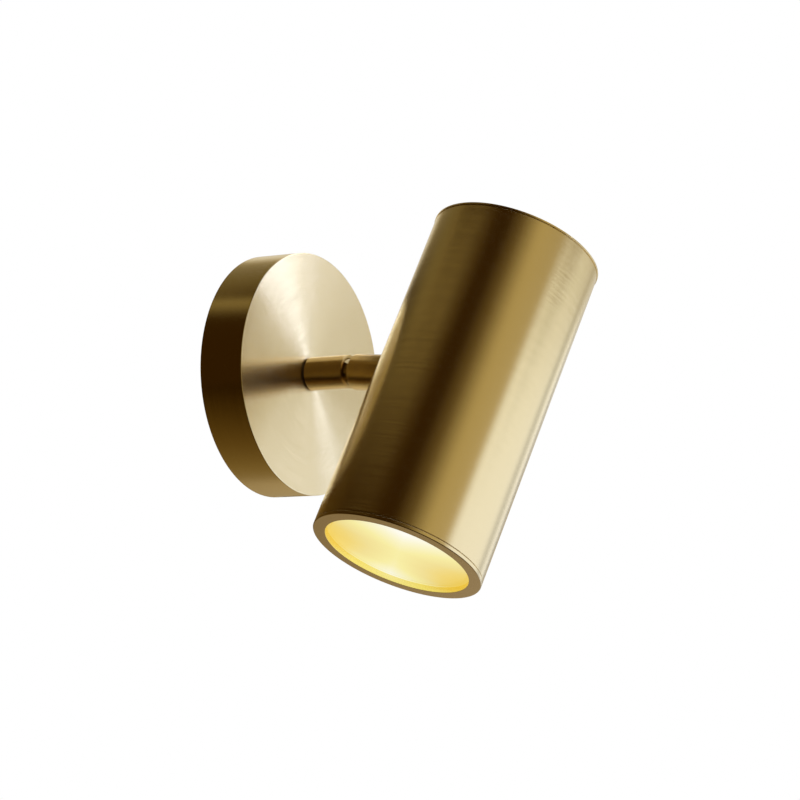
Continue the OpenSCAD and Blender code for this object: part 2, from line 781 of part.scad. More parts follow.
// Spacer between the inside of the tube and the friction washer
module inner_saddle() {
    color(steel) at_ball() intersection() {
        translate([0, 0, tube_inner])
            ring(saddle_r, thread_r + screw_fit, inner_saddle_high - tube_inner);
        head_bar(head_inner_r - thread_fit);
    }
}

module friction_washer() {
    color(nylon) at_ball() translate([0, 0, friction_low])
        ring(saddle_r, thread_r + screw_fit, friction_t);
}

module arm_nut() {
    color(brass) at_ball() translate([0, 0, arm_nut_low]) nut();
}

// Brass tube of the head, with the hole for the arm
module head_tube() {
    color(brass) at_head() difference() {
        translate([0, 0, tube_low]) turned(head_r, tube_high - tube_low, edge_break);
        cylinder(r = head_inner_r, h = head_l);
        translate([0, 0, arm_height]) rotate([-90, 0, 0])
            cylinder(r = thread_r + screw_fit, h = head_d);
    }
}

// Turned cap with a push-fit spigot and two bosses for the bridge
module top_cap() {
    color(brass) at_head() difference() {
        union() {
            rotate_extrude() polygon([
                [0, head_l], [cap_r - edge_break, head_l], [cap_r, head_l - edge_break],
                [cap_r, head_l - cap_band], [seam_r, head_l - cap_band], [seam_r, tube_high],
                [spigot_r, tube_high], [spigot_r, tube_high - cap_spigot],
                [spigot_r - cap_spigot_wall, tube_high - cap_spigot],
                [spigot_r - cap_spigot_wall, cap_low], [0, cap_low]
            ]);
            for (side = [-1, 1]) translate([side * boss_reach, 0, boss_low])
                cylinder(d = boss_d, h = boss_h + cap_web);
        }
        for (side = [-1, 1]) translate([side * boss_reach, 0, boss_low - past])
            cylinder(r = screw_d / 2 + thread_fit, h = boss_h + past);
    }
}

module sheet_hole(x, low, radius) {
    translate([x, 0, low - past]) cylinder(r = radius, h = bridge_t + 2 * past);
}

// Folded steel bridge that carries the lampholder
module lamp_bridge() {
    color(steel) at_head() difference() {
        for (side = [0, 180]) rotate([0, 0, side]) {
            translate([-past, -bridge_w / 2, web_low]) cube([bridge_r + past, bridge_w, bridge_t]);
            translate([bridge_r - bridge_t, -bridge_w / 2, web_low])
                cube([bridge_t, bridge_w, boss_low - web_low]);
            translate([bridge_r - bridge_t, -bridge_w / 2, foot_low])
                cube([boss_d + bridge_t, bridge_w, bridge_t]);
        }
        for (side = [-1, 1]) {
            sheet_hole(side * boss_reach, foot_low, screw_d / 2 + screw_fit);
            sheet_hole(side * holder_screw_reach, web_low, screw_d / 2 + screw_fit);
        }
        sheet_hole(0, web_low, neck_bore / 2);
    }
}

module bridge_screws() {
    color(steel) at_head() for (side = [-1, 1])
        translate([side * boss_reach, 0, foot_low])
            cap_screw(screw_d, screw_l, screw_head_d, screw_head_h);
}

// Glazed ceramic lampholder
module lampholder() {
    color("white") at_head() difference() {
        union() {
            translate([0, 0, holder_mouth]) turned(holder_d / 2, holder_l, 2 * edge_break);
            translate([0, 0, holder_mouth]) turned(holder_rim_d / 2, holder_rim_h, holder_rim_edge);
        }
        translate([0, 0, holder_mouth - past])
            cylinder(r = cavity_r, h = cavity_top - holder_mouth + past);
        for (side = [-1, 1]) translate([side * holder_screw_reach, 0, web_low - screw_l])
            cylinder(r = screw_d / 2 + thread_fit, h = screw_l + past);
    }
}

module holder_screws() {
    color(steel) at_head() for (side = [-1, 1])
        translate([side * holder_screw_reach, 0, web_low + bridge_t]) mirror([0, 0, 1])
            cap_screw(screw_d, screw_l, screw_head_d, screw_head_h);
}

// Places of the lampholder's two terminals, on top of it
module each_holder_terminal() {
    for (side = [-1, 1]) translate([side * terminal_spread, terminal_reach, web_low]) children();
}

// Brass blocks that clamp the leads
module holder_terminals() {
    bore_z = terminal_bore_z - web_low;
    color(brass) at_head() each_holder_terminal() difference() {
        translate([-terminal_w / 2, -terminal_l / 2, 0]) cube([terminal_w, terminal_l, terminal_h]);
        translate([0, terminal_l, bore_z]) rotate([90, 0, 0])
            cylinder(d = terminal_bore, h = 2 * terminal_l);
        translate([0, 0, bore_z]) cylinder(r = terminal_screw_d / 2 + thread_fit, h = terminal_h);
    }
}

// Slotted screws that press on the leads
module terminal_screws() {
    low = terminal_bore_z - web_low + lead_r + screw_fit;
    color(steel) at_head() each_holder_terminal() difference() {
        translate([0, 0, low]) cylinder(d = terminal_screw_d, h = terminal_h - low);
        translate([-terminal_w, -clamp_slot_w / 2, terminal_h - clamp_slot_depth])
            cube([2 * terminal_w, clamp_slot_w, clamp_slot_depth + past]);
    }
}

// Brass shell that grips the lamp's cap
module screw_shell() {
    color(brass) at_head() translate([0, 0, cavity_top - shell_l]) difference() {
        cylinder(r = shell_r + shell_t, h = shell_l);
        translate([0, 0, -past]) cylinder(r = shell_r, h = shell_l - shell_t + past);
        cylinder(r = shell_r / 2, h = shell_l + past);
    }
}

// Sprung contact in the lampholder's floor
module centre_contact() {
    color(steel) at_head() translate([0, 0, lamp_top])
        cylinder(d1 = contact_tip_d, d2 = contact_d, h = contact_l);
}

module lamp_cap() {
    color("silver") at_head() rotate_extrude() polygon([
        [0, lamp_cap_low], [lamp_cap_r, lamp_cap_low], [lamp_cap_r, lamp_cap_top - lamp_cap_edge],
        [lamp_cap_r - lamp_cap_edge, lamp_cap_top], [lamp_tip_d / 2, lamp_top], [0, lamp_top]
    ]);
}

// Plastic body of the lamp, narrowing from the globe to the cap
module lamp_body() {
    steps = 16;
    color(nylon) at_head() rotate_extrude() polygon([
        [0, globe_top],
        for (i = [0:steps]) [
            lamp_cap_r + (body_r - lamp_cap_r) * (1 + cos(180 * i / steps)) / 2,
            globe_top + (lamp_cap_low - globe_top) * i / steps
        ],
        [0, lamp_cap_low]
    ]);
}

module lamp_globe() {
    color("white") at_head() difference() {
        translate([0, 0, globe_z]) sphere(r = globe_r);
        translate([0, 0, globe_z]) sphere(r = globe_r - globe_wall);
        translate([0, 0, globe_top]) cylinder(r = lamp_d, h = lamp_d);
    }
}

// Turned ring that screws into the tube, carries the glass and frames the opening
module bezel_ring() {
    spigot_high = tube_low + bezel_spigot;
    groove_low = gasket_top - thread_fit;
    groove_high = gasket_top + clip_t + thread_fit;
    color(brass) at_head() rotate_extrude() polygon([
        [opening_r + edge_break, 0], [head_r - bezel_chamfer, 0], [head_r, bezel_chamfer],
        [head_r, bezel_band - edge_break], [head_r - edge_break, bezel_band],
        [seam_r, bezel_band], [seam_r, tube_low], [spigot_r, tube_low],
        [spigot_r, spigot_high], [glass_seat_r, spigot_high],
        [glass_seat_r, groove_high], [groove_r, groove_high],
        [groove_r, groove_low], [glass_seat_r, groove_low],
        [glass_seat_r, glass_recess], [opening_r, glass_recess], [opening_r, edge_break]
    ]);
}

module frosted_glass() {
    color("#ffe9a8") at_head() translate([0, 0, glass_recess]) turned(glass_r, glass_t, edge_break);
}

module lens_gasket() {
    color("#e8e0d0") at_head() translate([0, 0, glass_top])
        ring(glass_r, opening_r + edge_break, gasket_t);
}

// Open spring ring, snapped into the bezel's groove, that keeps the glass in
module lens_clip() {
    clip_r = groove_r - thread_fit;
    color(steel) at_head() translate([0, 0, gasket_top]) difference() {
        ring(clip_r, clip_r - clip_w, clip_t);
        translate([0, -clip_gap / 2, -past]) cube([head_d, clip_gap, clip_t + 2 * past]);
    }
}

function unit(v) = v / norm(v);

function heading(route, i) = unit(route[min(i + 1, len(route) - 1)] - route[max(i - 1, 0)]);

// Direction across a route, carried from ring to ring without a twist
function across(route, i) =
    let (ahead = heading(route, i), before = i == 0 ? [1, 0, 1] : across(route, i - 1))
    unit(before - (before * ahead) * ahead);

// Insulated wire swept along a route, with one ring at each of its points
module lead(route) {
    sides = 8;
    last = len(route) - 1;
    points = [
        for (i = [0:last])
            let (side = across(route, i), up = cross(heading(route, i), side))
            for (k = [0:sides - 1])
                route[i] + lead_r * (cos(360 * k / sides) * side + sin(360 * k / sides) * up)
    ];
    walls = [
        for (i = [0:last - 1], k = [0:sides - 1])
            let (a = i * sides + k, b = i * sides + (k + 1) % sides)
            each [[a, a + sides, b + sides], [a, b + sides, b]]
    ];
    polyhedron(points, concat(
        [[for (k = [0:sides - 1]) k]],
        walls,
        [[for (k = [sides - 1:-1:0]) last * sides + k]]
    ));
}

module earth_lead() {
    color("yellowgreen") from_wall() lead(earth_route);
}

module plate_lead_live() {
    color("saddlebrown") from_wall() lead(plate_live_route);
}

module plate_lead_neutral() {
    color("royalblue") from_wall() lead(plate_neutral_route);
}

// Straight stretch of a lead inside the ball and the stem
module arm_lead(side) {
    at_ball() translate([side * lead_offset, 0, lead_gap - ball_r + edge_break])
        cylinder(r = lead_r, h = ball_r - edge_break + stem_end - 2 * lead_gap);
}

module arm_lead_live() {
    color("saddlebrown") arm_lead(1);
}

module arm_lead_neutral() {
    color("royalblue") arm_lead(-1);
}

module head_lead_live() {
    color("saddlebrown") at_head() lead(head_route(1));
}

module head_lead_neutral() {
    color("royalblue") at_head() lead(head_route(-1));
}

wall_bracket();
backplate();
plate_screws();
earth_screw();
earth_washer();
earth_tag();
terminal_block();
terminal_barrels();
clamp_screws();
block_screw();
threaded_tube();
tube_bush();
tube_nut();
lock_washer();
seat_washer();
swivel_socket();
socket_plug();
disc_springs();
friction_cup();
swivel_ball();
arm_sleeve();
friction_washer();
arm_nut();
outer_saddle();
inner_saddle();
head_tube();
top_cap();
lamp_bridge();
bridge_screws();
lampholder();
holder_screws();
holder_terminals();
terminal_screws();
screw_shell();
centre_contact();
lamp_cap();
lamp_body();
lamp_globe();
lens_gasket();
lens_clip();
frosted_glass();
bezel_ring();
earth_lead();
plate_lead_live();
plate_lead_neutral();
arm_lead_live();
arm_lead_neutral();
head_lead_live();
head_lead_neutral();
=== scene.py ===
import math

import bmesh
import bpy
from mathutils import Matrix, Vector


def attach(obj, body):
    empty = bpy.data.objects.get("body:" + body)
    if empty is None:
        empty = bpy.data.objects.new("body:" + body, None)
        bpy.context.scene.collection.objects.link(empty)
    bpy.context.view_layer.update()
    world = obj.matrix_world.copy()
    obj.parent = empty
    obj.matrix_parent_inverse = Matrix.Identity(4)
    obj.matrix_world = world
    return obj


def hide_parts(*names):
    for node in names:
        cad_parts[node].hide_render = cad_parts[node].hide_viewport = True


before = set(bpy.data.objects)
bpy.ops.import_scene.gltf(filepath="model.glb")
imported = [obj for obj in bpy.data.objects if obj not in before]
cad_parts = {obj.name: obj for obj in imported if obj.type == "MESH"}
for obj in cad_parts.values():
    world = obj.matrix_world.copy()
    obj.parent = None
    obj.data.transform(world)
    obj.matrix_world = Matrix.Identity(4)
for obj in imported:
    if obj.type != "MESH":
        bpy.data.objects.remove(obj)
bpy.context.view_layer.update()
mm = 0.001


# The camera stands in the room, left of the lamp and a little below its middle. A long lens
# looks up to the right at the head, so the plate, the arm and the lit end all show.
camera_place = Vector((-1.1907, -0.8239, -0.1539))
camera_aim = Vector((-0.0532, -0.1091, -0.0217))
lens_length = 131.55
view = bpy.data.objects.new("camera", bpy.data.cameras.new("camera"))
view.data.lens = lens_length
view.location = camera_place
view.rotation_euler = (camera_aim - camera_place).to_track_quat("-Z", "Y").to_euler()
bpy.context.scene.collection.objects.link(view)
bpy.context.scene.camera = view


# The wall bracket is a strap of zinc-plated steel sheet, punched and folded. Its two slots
# take the wall screws, its ears the plate screws and its side tab the terminal block.
class Wire:
    """A value on its way through a material. Sums and products of wires become Math nodes."""

    def __init__(self, tree, output):
        self.tree = tree
        self.output = output

    def node(self, kind, settings, sockets, result=0):
        made = self.tree.nodes.new(kind)
        for name, value in settings.items():
            if name == "stops":
                stops = made.color_ramp.elements
                stops.remove(stops[1])
                stops[0].position, stops[0].color = value[0]
                for place, colour in value[1:]:
                    stops.new(place).color = colour
            else:
                setattr(made, name, value)
        for name, value in sockets.items():
            if isinstance(value, Wire):
                self.tree.links.new(value.output, made.inputs[name])
            else:
                made.inputs[name].default_value = value
        return Wire(self.tree, made.outputs[result])

    def math(self, operation, other=0.0):
        return self.node("ShaderNodeMath", {"operation": operation}, {0: self, 1: other})

    def vector(self, operation, other=(0, 0, 0)):
        return self.node("ShaderNodeVectorMath", {"operation": operation}, {0: self, 1: other})

    def length(self):
        return self.node("ShaderNodeVectorMath", {"operation": "LENGTH"}, {0: self}, "Value")

    def dot(self, other):
        return self.node("ShaderNodeVectorMath", {"operation": "DOT_PRODUCT"}, {0: self, 1: other}, "Value")

    def scaled(self, factor):
        return self.node("ShaderNodeVectorMath", {"operation": "SCALE"}, {0: self, "Scale": factor})

    def mix(self, dark, pale):
        sockets = {0: self, 6: opaque(dark), 7: opaque(pale)}
        return self.node("ShaderNodeMix", {"data_type": "RGBA"}, sockets, 2)

    def to(self, shader, socket):
        self.tree.links.new(self.output, shader.inputs[socket])

    def __add__(self, other):
        return self.math("ADD", other)

    def __sub__(self, other):
        return self.math("SUBTRACT", other)

    def __mul__(self, other):
        return self.math("MULTIPLY", other)

    def __rsub__(self, other):
        return self.node("ShaderNodeMath", {"operation": "SUBTRACT"}, {0: other, 1: self})

    __radd__ = __add__
    __rmul__ = __mul__


def opaque(colour):
    """A colour with its full opacity added. A wire stays as it is."""
    return colour if isinstance(colour, Wire) else tuple(colour) + (1,)


def shade(colour, share):
    """A darker tone of a colour."""
    return tuple(share * tone for tone in colour)


def bare_finish(name, constants):
    """A new material with its shader's constants, its shader and its Object coordinates."""
    material = bpy.data.materials.new(name)
    material.use_nodes = True
    tree = material.node_tree
    shader = tree.nodes["Principled BSDF"]
    for socket, value in constants.items():
        shader.inputs[socket].default_value = value
    coordinates = tree.nodes.new("ShaderNodeTexCoord")
    return material, shader, Wire(tree, coordinates.outputs["Object"])


def noise(place, scale, detail=2.0, roughness=0.5):
    sockets = {"Vector": place, "Scale": scale, "Detail": detail, "Roughness": roughness}
    return place.node("ShaderNodeTexNoise", {"noise_dimensions": "3D"}, sockets)


def emboss(shader, height, depth):
    """Raises the skin by a wire of heights from 0 to 1, as far as the depth."""
    height.node("ShaderNodeBump", {}, {"Height": height, "Distance": depth}).to(shader, "Normal")


def dress(material, *nodes):
    """Gives CAD nodes a material of this script."""
    for node in nodes:
        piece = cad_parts[node]
        if not piece.material_slots:
            piece.data.materials.append(material)
        for slot in piece.material_slots:
            slot.material = material


def zinc_plate(name, base, crystals):
    """Bright metal plating on rolled steel: cloudy crystals, with fine rolling marks."""
    material, shader, place = bare_finish(name, {"Metallic": 1.0})
    clouds = noise(place, crystals, 4.0, 0.6)
    clouds.mix(shade(base, 0.86), base).to(shader, "Base Color")
    (clouds * 0.22 + 0.22).to(shader, "Roughness")
    emboss(shader, noise(place, 9 * crystals, 3.0), 0.02 * mm)
    return material


zinc = zinc_plate("zinc_plate", (0.62, 0.64, 0.66), 420)
dress(zinc, "wall_bracket")


# The terminal block is a moulded nylon bar with three brass barrels. Two clamp screws hold
# the leads in each barrel, and one screw fixes the block to the bracket's tab.
pebbles = 6000
pebble_depth = 0.01 * mm


def moulded(name, base, roughness, fleck):
    """Moulded plastic: a faint mottle in its colour and a fine pebbled skin."""
    material, shader, place = bare_finish(name, {"Subsurface Weight": 0.05})
    mottle = noise(place, 600, 3.0)
    mottle.mix(shade(base, 1 - fleck), base).to(shader, "Base Color")
    (mottle * 0.2 + (roughness - 0.1)).to(shader, "Roughness")
    emboss(shader, noise(place, pebbles), pebble_depth)
    return material


def machined_brass(name, base):
    """Uncoated brass as the lathe and the tap leave it, a little dulled by handling."""
    material, shader, place = bare_finish(name, {"Metallic": 1.0})
    dulled = noise(place, 500, 4.0, 0.6)
    dulled.mix(shade(base, 0.75), base).to(shader, "Base Color")
    (dulled * 0.2 + 0.2).to(shader, "Roughness")
    emboss(shader, noise(place, 7000), 0.01 * mm)
    return material


plain_brass = machined_brass("plain_brass", (0.78, 0.61, 0.32))
nylon = moulded("nylon", (0.86, 0.84, 0.78), 0.45, 0.06)
brown_lead = moulded("brown_lead", (0.17, 0.07, 0.03), 0.35, 0.1)
blue_lead = moulded("blue_lead", (0.04, 0.14, 0.42), 0.35, 0.1)
dress(nylon, "terminal_block")
dress(plain_brass, "terminal_barrels")
dress(zinc, "clamp_screws", "block_screw")
dress(brown_lead, "plate_lead_live")
dress(blue_lead, "plate_lead_neutral")


# The earth point on the strap: a green slotted screw over a cup washer, which grips the tinned
# ring tag of a green and yellow lead.
def striped(name, first, second, pitch, slant):
    """Insulation in two colours, in stripes at a pitch across the slant."""
    material, shader, place = bare_finish(name, {"Roughness": 0.35})
    stripes = place.dot(slant) * (1 / pitch)
    stripes.math("FRACT").math("GREATER_THAN", 0.5).mix(first, second).to(shader, "Base Color")
    emboss(shader, noise(place, pebbles), pebble_depth)
    return material


green_steel = zinc_plate("green_steel", (0.05, 0.30, 0.09), 500)
tinned = zinc_plate("tinned", (0.80, 0.80, 0.80), 500)
earth_stripes = striped("earth_lead", (0.04, 0.30, 0.06), (0.75, 0.62, 0.04), 3 * mm, (0.8, 0.4, 0.45))
dress(green_steel, "earth_screw")
dress(plain_brass, "earth_washer")
dress(tinned, "earth_tag")
dress(earth_stripes, "earth_lead")


# The backplate is a cup spun from brass sheet, then brushed in fine circles as it turns and
# lacquered. It hides the bracket, and one centre hole takes the threaded tube.
from_wall = Matrix.Rotation(math.radians(90), 4, "X")
out_of_wall = Vector((0, -1, 0))
turning_steps = 192
drill_steps = 96
merge_distance = 0.001 * mm
sharp_angle = math.radians(35)


def stand(name, shape):
    """Stands a bmesh in the scene as a new object."""
    mesh = bpy.data.meshes.new(name)
    shape.to_mesh(mesh)
    shape.free()
    piece = bpy.data.objects.new(name, mesh)
    bpy.context.scene.collection.objects.link(piece)
    return piece


def spun(profile, steps, closed):
    """A bmesh spun from a line of (radius, height) points about the lathe's axis."""
    shape = bmesh.new()
    corners = [shape.verts.new((radius, 0, height)) for radius, height in profile]
    following = corners[1:] + corners[:1] if closed else corners[1:]
    for first, second in zip(corners, following):
        shape.edges.new((first, second))
    bmesh.ops.spin(shape, geom=shape.verts[:] + shape.edges[:], cent=(0, 0, 0), axis=(0, 0, 1),
                   angle=2 * math.pi, steps=steps, use_merge=True)
    bmesh.ops.remove_doubles(shape, verts=shape.verts[:], dist=merge_distance)
    return shape


def turn(name, profile, place, edge):
    """Turns a piece from the closed outline of its section, and breaks its sharp edges."""
    shape = spun(profile, turning_steps, closed=True)
    bmesh.ops.recalc_face_normals(shape, faces=shape.faces[:])
    rings = [line for line in shape.edges if line.calc_face_angle(0) > sharp_angle]
    bmesh.ops.bevel(shape, geom=rings, offset=edge, segments=3, profile=0.5, affect="EDGES",
                    clamp_overlap=True, material=-1)
    bmesh.ops.transform(shape, matrix=place, verts=shape.verts[:])
    return stand(name, shape)


def bore(piece, place, radius, length):
    """Drills a round hole through a piece, centred on the place and along its Z."""
    drill = bmesh.new()
    bmesh.ops.create_cone(drill, cap_ends=True, segments=drill_steps, radius1=radius,
                          radius2=radius, depth=length, matrix=place)
    cutter = stand("drill", drill)
    hole = piece.modifiers.new("hole", "BOOLEAN")
    hole.object = cutter
    hole.solver = "EXACT"
    seen = piece.evaluated_get(bpy.context.evaluated_depsgraph_get())
    drilled = bpy.data.meshes.new_from_object(seen)
    piece.modifiers.clear()
    piece.data = drilled
    bpy.data.objects.remove(cutter)


def smooth(piece, material):
    """Smooth shading that keeps the flats flat, and the piece's material."""
    for face in piece.data.polygons:
        face.use_smooth = True
    piece.data.materials.clear()
    piece.data.materials.append(material)
    flats = piece.modifiers.new("flats", "WEIGHTED_NORMAL")
    flats.mode = "FACE_AREA"
    flats.weight = 100
    flats.keep_sharp = True


def turned_brass(name, centre, axis, side_base, face_base, roughness=0.2, spread=0.5,
                 face_spread=0.5, bore_r=0.0, bore_painted_glow=(1.0, 0.90, 0.42)):
    """Brass brushed on the lathe. Fine rings round the axis tip the normal across their line,
    so a light spreads along the tube, or in rays over a face, and stays narrow round it. Side
    walls and flat faces have a tone and a spread each. Where a face's tone differs from its
    side's, that is painted light: a paler face is a painted sheen, a darker face painted shade.
    The bore's golden tone is a painted reflection of the lit glass."""
    fine_lines = 90.0
    coarse_lines = 2.6
    round_grain = 1.5
    coarse_share = 0.015
    tone_depth = 0.03
    rough_depth = 0.04
    material, shader, place = bare_finish(name, {"Metallic": 1.0})
    normal = place.node("ShaderNodeTexCoord", {}, {}, "Normal")
    from_centre = place.vector("SUBTRACT", tuple(centre))
    along = from_centre.dot(tuple(axis))
    sideways = from_centre.vector("CROSS_PRODUCT", tuple(axis))
    radius = sideways.length()
    round_axis = sideways.vector("NORMALIZE")
    across = (along + radius) * (1 / mm)
    line_axis = place.node("ShaderNodeCombineXYZ", {}, {0: across, 1: 0.0, 2: 0.0})
    stretched = round_axis.scaled(round_grain)
    fine = noise(line_axis.scaled(fine_lines).vector("ADD", stretched), 1.0, 1.0)
    coarse = noise(line_axis.scaled(coarse_lines).vector("ADD", stretched), 1.0, 3.0, 0.7)
    facing = normal.dot(tuple(axis)).math("ABSOLUTE")
    waver = (fine - 0.5) + (coarse - 0.5) * coarse_share
    tip = waver * (facing * (face_spread - spread) + spread)
    ridge = normal.vector("CROSS_PRODUCT", round_axis)
    tipped = normal.vector("ADD", ridge.scaled(tip)).vector("NORMALIZE")
    settings = {"vector_type": "NORMAL", "convert_from": "OBJECT", "convert_to": "WORLD"}
    place.node("ShaderNodeVectorTransform", settings, {0: tipped}).to(shader, "Normal")
    outside = facing.mix(side_base, face_base)
    # Inside the bore radius the brass takes a painted reflection of the glass's glow.
    brass = radius.math("LESS_THAN", bore_r).mix(outside, bore_painted_glow)
    brass.scaled(coarse * tone_depth + (1 - tone_depth)).to(shader, "Base Color")
    (coarse * rough_depth + (roughness - rough_depth / 2)).to(shader, "Roughness")
    return material


plate_r = 60 * mm
plate_depth = 24 * mm
plate_wall = 1.5 * mm
plate_front = 2 * mm
plate_edge = 0.35 * mm
grub_height = 8 * mm
grub_hole_r = 2.2 * mm
tube_hole_r = 5.2 * mm
face_drill = 4 * plate_front
side_drill = 2.1 * plate_r
plate_inner_r = plate_r - plate_wall
plate_profile = [
    (plate_inner_r, 0), (plate_r, 0), (plate_r, plate_depth), (0, plate_depth),
    (0, plate_depth - plate_front), (plate_inner_r, plate_depth - plate_front),
]
backplate = turn("spun_backplate", plate_profile, from_wall, plate_edge)
bore(backplate, from_wall @ Matrix.Translation((0, 0, plate_depth)), tube_hole_r, face_drill)
bore(backplate, Matrix.Translation((0, -grub_height, 0)), grub_hole_r, side_drill)
plate_face = from_wall @ Vector((0, 0, plate_depth))
brass_base = (0.87, 0.76, 0.50)
# The plate's face is paler than its rim, though both are one brass sheet: a painted sheen.
plate_face_painted_sheen = (0.96, 0.86, 0.62)
spun_brass = turned_brass("spun_brass", plate_face, out_of_wall, brass_base, plate_face_painted_sheen, face_spread=1.6)
smooth(backplate, spun_brass)
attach(backplate, "wall")
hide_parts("backplate")
dress(plain_brass, "plate_screws")


# A length of threaded brass tube clamps the plate between the swivel's socket and a nut with a
# toothed lock washer. A nylon bush keeps the leads off the tube's cut end.
dress(plain_brass, "threaded_tube", "tube_nut")
dress(nylon, "tube_bush")
dress(zinc, "lock_washer")


# The fibre washer under the socket is smaller than the socket, which leaves the thin shadow
# between the socket and the plate. Its near-black colour paints that shadow as well.
dress(moulded("fibre", (0.03, 0.012, 0.004), 0.8, 0.4), "seat_washer")


# The swivel's socket is turned from brass bar. Its mouth closes over the ball in a spherical
# lip, and a threaded plug with two disc springs presses a nylon cup on the ball from behind.
def arc(centre, radius, first, last, count):
    """Profile points round a ball, from one height above its centre to another."""
    heights = [first + (last - first) * step / count for step in range(count + 1)]
    return [(math.sqrt(radius ** 2 - height ** 2), centre + height) for height in heights]


socket_r = 8.35 * mm
socket_bore_r = 7.3 * mm
washer_thickness = 1 * mm
socket_reach = 22.6 * mm
socket_edge = 0.25 * mm
ball_r = 7 * mm
ball_seat_r = 7.1 * mm
ball_depth = 3 * mm
lip_width = 0.3 * mm
lip_steps = 8
socket_low = plate_depth + washer_thickness
socket_high = plate_depth + socket_reach
ball_height = socket_high - ball_depth
lip = arc(ball_height, ball_seat_r, 0, ball_depth - lip_width, lip_steps)
socket_profile = [
    (socket_bore_r, socket_low), (socket_r, socket_low), (socket_r, socket_high),
    (lip[-1][0] + lip_width, socket_high),
] + lip[::-1] + [(socket_bore_r, ball_height)]
socket = turn("turned_socket", socket_profile, from_wall, socket_edge)
# A darker brass than the head's, as painted shade on the socket, the sleeve and the outer saddle.
shaded_brass_base = (0.55, 0.40, 0.17)
shaded_satin_socket = turned_brass("satin_brass_socket_shaded", plate_face, out_of_wall, shaded_brass_base, shaded_brass_base)
smooth(socket, shaded_satin_socket)
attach(socket, "wall")
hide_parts("swivel_socket")
dress(plain_brass, "socket_plug")
dress(zinc, "disc_springs")
dress(nylon, "friction_cup")


# The ball, its neck and the threaded stem are one polished turning, drilled through for the
# leads. The ball turns in the socket, and the stem carries the sleeve and the head.
swivel = math.radians(-53.8)
lean = math.radians(8.9)
head_turn = math.radians(28)
at_ball = (from_wall @ Matrix.Translation((0, 0, ball_height)) @ Matrix.Rotation(swivel, 4, "Z")
           @ Matrix.Rotation(lean, 4, "X") @ Matrix.Rotation(head_turn, 4, "Z"))
ball_centre = at_ball.to_translation()
arm_axis = (at_ball.to_3x3() @ Vector((0, 0, 1))).normalized()
wire_bore_r = 2.5 * mm
neck_r = 3.3 * mm
stem_r = 5 * mm
stem_low = 9.1 * mm
stem_high = 45 * mm
ball_edge = 0.1 * mm
ball_steps = 16
ball_back = -math.sqrt(ball_r ** 2 - wire_bore_r ** 2)
ball_neck = math.sqrt(ball_r ** 2 - neck_r ** 2)
back_half = arc(0, ball_r, ball_back, 0, ball_steps)
front_half = arc(0, ball_r, 0, ball_neck, ball_steps)
ball_profile = back_half[:-1] + front_half + [
    (neck_r, stem_low), (stem_r, stem_low), (stem_r, stem_high), (wire_bore_r, stem_high),
]
ball = turn("polished_ball", ball_profile, at_ball, ball_edge)
# The ball's dark tone is painted shade, for the dark gap between the socket and the sleeve.
ball_painted_shade = (0.45, 0.35, 0.18)
polished = turned_brass("polished_brass", ball_centre, arm_axis, ball_painted_shade, ball_painted_shade,
                        roughness=0.08, spread=0.1, face_spread=0.1)
smooth(ball, polished)
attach(ball, "arm")
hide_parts("swivel_ball")
dress(brown_lead, "arm_lead_live")
dress(blue_lead, "arm_lead_neutral")


# The arm's sleeve is a short turned tube over the stem, between the ball's neck and the head.
# Inside the head a nylon washer and a nut clamp the stem.
sleeve_r = 9 * mm
sleeve_bore_r = 5.05 * mm
sleeve_low = 8.6 * mm
sleeve_high = 33.7 * mm
sleeve_edge = 0.45 * mm
sleeve_profile = [
    (sleeve_bore_r, sleeve_low), (sleeve_r, sleeve_low),
    (sleeve_r, sleeve_high), (sleeve_bore_r, sleeve_high),
]
sleeve = turn("turned_sleeve", sleeve_profile, at_ball, sleeve_edge)
# The sleeve and the outer saddle take the darker brass, as painted shade.
shaded_satin_arm = turned_brass("satin_brass_arm_shaded", ball_centre, arm_axis, shaded_brass_base, shaded_brass_base)
smooth(sleeve, shaded_satin_arm)
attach(sleeve, "arm")
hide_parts("arm_sleeve")
dress(nylon, "friction_washer")
dress(plain_brass, "arm_nut")


# Two curved spacers grip the tube's wall: the outer one fills the crescent between the flat end
# of the sleeve and the round tube, the inner one seats the nut.
arm_reach = 76.5 * mm
arm_height = 97.3 * mm
at_head = (at_ball @ Matrix.Translation((0, 0, arm_reach)) @ Matrix.Rotation(math.radians(-90), 4, "X")
           @ Matrix.Translation((0, 0, -arm_height)))
head_foot = at_head.to_translation()
head_axis = (at_head.to_3x3() @ Vector((0, 0, 1))).normalized()
head_r = 41.35 * mm
stem_slack = 0.2 * mm
sleeve_gap = 0.2 * mm
tube_slack = 0.05 * mm
saddle_thickness = 3.5 * mm
saddle_edge = 0.1 * mm
curve_length = 60 * mm
saddle_bore_r = stem_r + stem_slack
saddle_low = sleeve_high + sleeve_gap
saddle_high = saddle_low + saddle_thickness
saddle_profile = [
    (saddle_bore_r, saddle_low), (sleeve_r, saddle_low),
    (sleeve_r, saddle_high), (saddle_bore_r, saddle_high),
]
saddle = turn("turned_saddle", saddle_profile, at_ball, saddle_edge)
arm_in_head = at_head @ Matrix.Translation((0, 0, arm_height))
bore(saddle, arm_in_head, head_r + tube_slack, curve_length)
smooth(saddle, shaded_satin_arm)
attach(saddle, "head")
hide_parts("outer_saddle")
dress(zinc, "inner_saddle")


